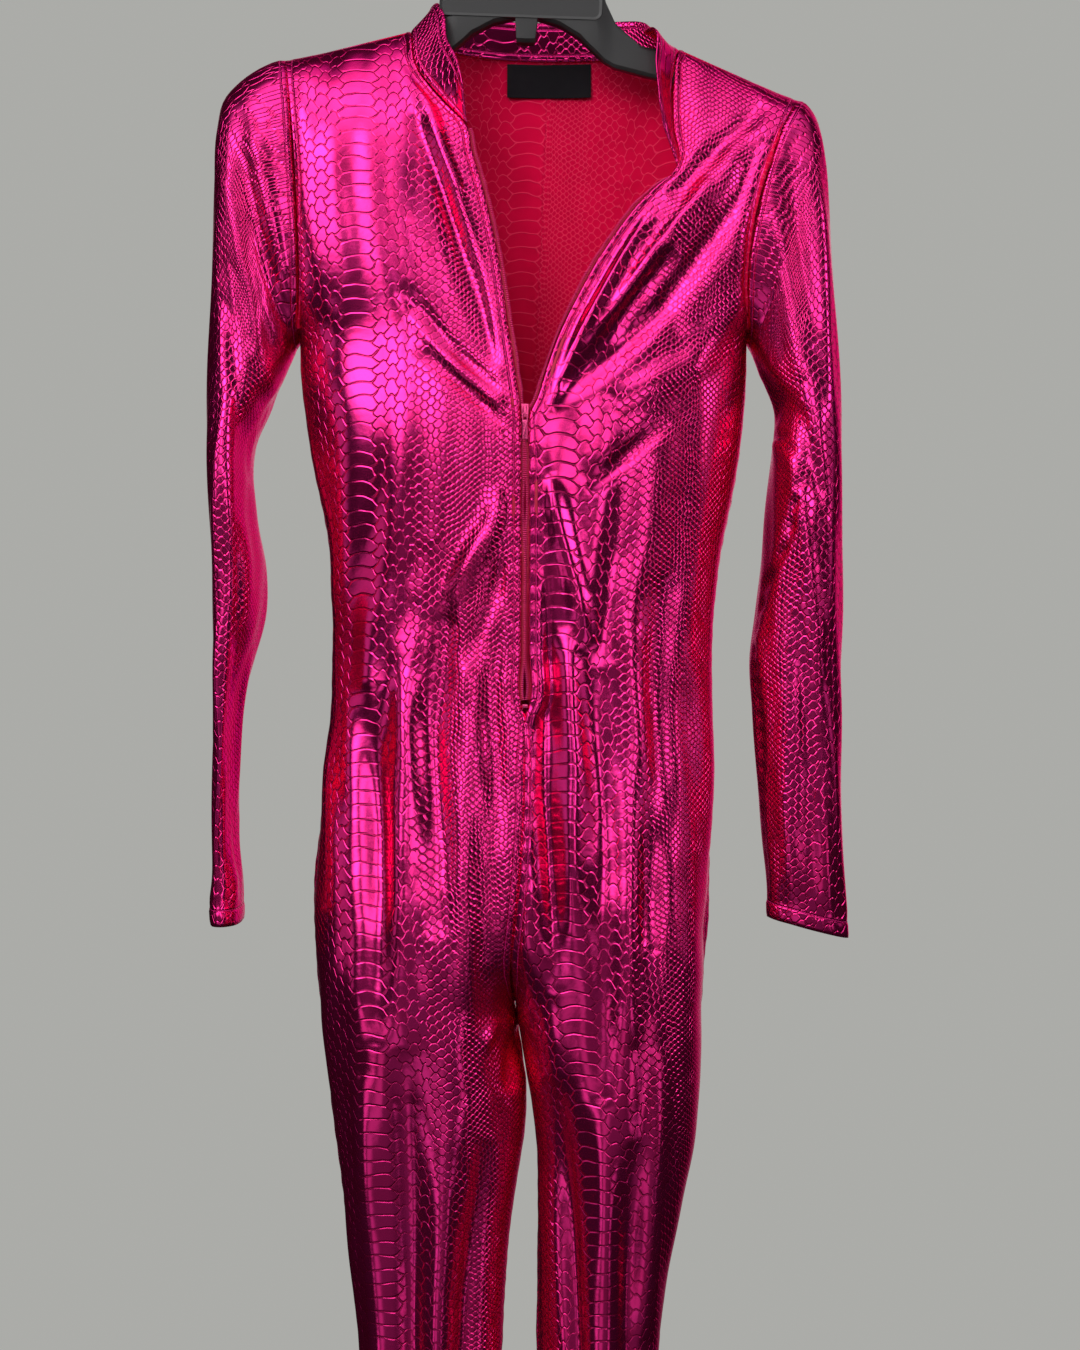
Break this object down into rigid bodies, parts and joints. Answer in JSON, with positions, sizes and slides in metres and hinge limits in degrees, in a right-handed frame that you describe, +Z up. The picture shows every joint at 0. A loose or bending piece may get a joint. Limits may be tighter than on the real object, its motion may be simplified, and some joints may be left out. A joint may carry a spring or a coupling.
{
  "type": "unitard on a hanger",
  "caption": "Long-sleeved stretch unitard with stand collar and open front zip, in embossed metallic pink cloth, hung on a plain black plastic hanger.",
  "frame": {"origin": "inside top of the hanger's hook, where a rail carries it", "axes": "+Z up along the garment's length, the garment's front faces -Y, +X is the wearer's left"},
  "size_m": [0.4783, 0.1482, 1.5467],
  "materials": {
    "foil_cloth": "metallic foil, embossed snakeskin",
    "label": "woven, matte",
    "zip_tape": "woven tape with nylon coil",
    "zip_metal": "pink enamel",
    "hanger_plastic": "satin moulded"
  },
  "bodies": {
    "garment": {"front_right": "foil_cloth", "front_left": "foil_cloth", "back_right": "foil_cloth", "back_left": "foil_cloth", "sleeve_right": "foil_cloth", "sleeve_left": "foil_cloth", "collar": "foil_cloth", "label": "label", "zip_tape_right": "zip_tape", "zip_tape_left": "zip_tape", "zip_slider": "zip_metal", "zip_stop": "zip_metal", "hanger": "hanger_plastic"},
    "pull": {"zip_pull": "zip_metal"}
  },
  "joints": [
    {"name": "pull_swing", "type": "hinge", "parent": "garment", "child": "pull", "pos_m": [-0.0013, -0.0778, -0.4076], "axis": [-1, 0, 0], "range_deg": [0, 120]}
  ]
}
